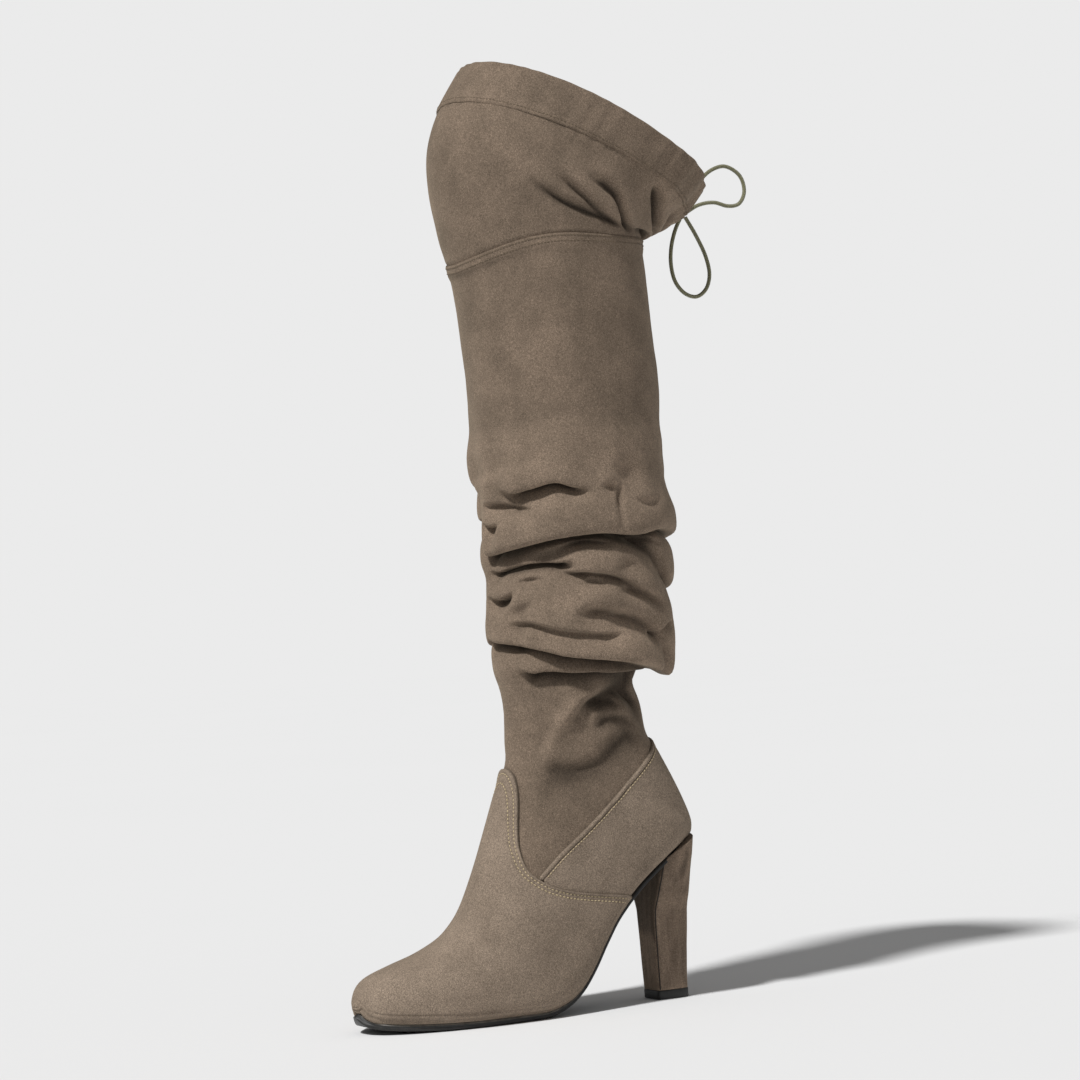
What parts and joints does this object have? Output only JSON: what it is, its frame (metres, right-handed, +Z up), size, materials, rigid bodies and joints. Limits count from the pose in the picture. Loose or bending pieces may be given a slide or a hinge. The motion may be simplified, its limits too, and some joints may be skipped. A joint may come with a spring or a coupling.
{
  "type": "knee-high boot",
  "caption": "Left over-the-knee slouch boot in olive-brown suede with a covered block heel, gathered shaft, inner side zip and a drawcord bow behind the knee.",
  "frame": {"origin": "on the floor, under the middle of the boot's box without the drawcord bow", "axes": "+Z up along the leg; the toe points to -Y, the heel's back to +Y; +X is the outer (lateral) side of this left boot and -X the inner side with the zip"},
  "size_m": [0.1444, 0.3135, 0.6064],
  "materials": {
    "suede": "soft olive-brown suede with a short nap",
    "heel_cover": "the same suede stretched over the heel",
    "sole_rubber": "black, slightly worn, satin",
    "lining": "brown textile lining",
    "zip_tape": "dark grey tape with grey moulded teeth",
    "zip_metal": "dark polished metal",
    "cord_satin": "olive satin cord with a soft shine"
  },
  "bodies": {
    "boot": {"outsole": "sole_rubber", "heel_block": "heel_cover", "heel_top_piece": "sole_rubber", "insole": "lining", "upper": "suede", "vamp": "suede", "counter": "suede", "counter_binding": "suede", "shaft": "suede", "thigh_panel": "suede", "drawcord_casing": "suede", "zip_chain": "zip_tape", "zip_slider": "zip_metal", "tie_knot": "cord_satin", "tie_loop_lower": "cord_satin", "tie_loop_upper": "cord_satin"},
    "pull": {"zip_pull": "zip_metal"}
  },
  "joints": [
    {"name": "zip_pull_swing", "type": "hinge", "parent": "boot", "child": "pull", "pos_m": [-0.06058, 0.01515, 0.37039], "axis": [-0.2892, 0.9569, -0.026], "range_deg": [-6, 160]}
  ]
}
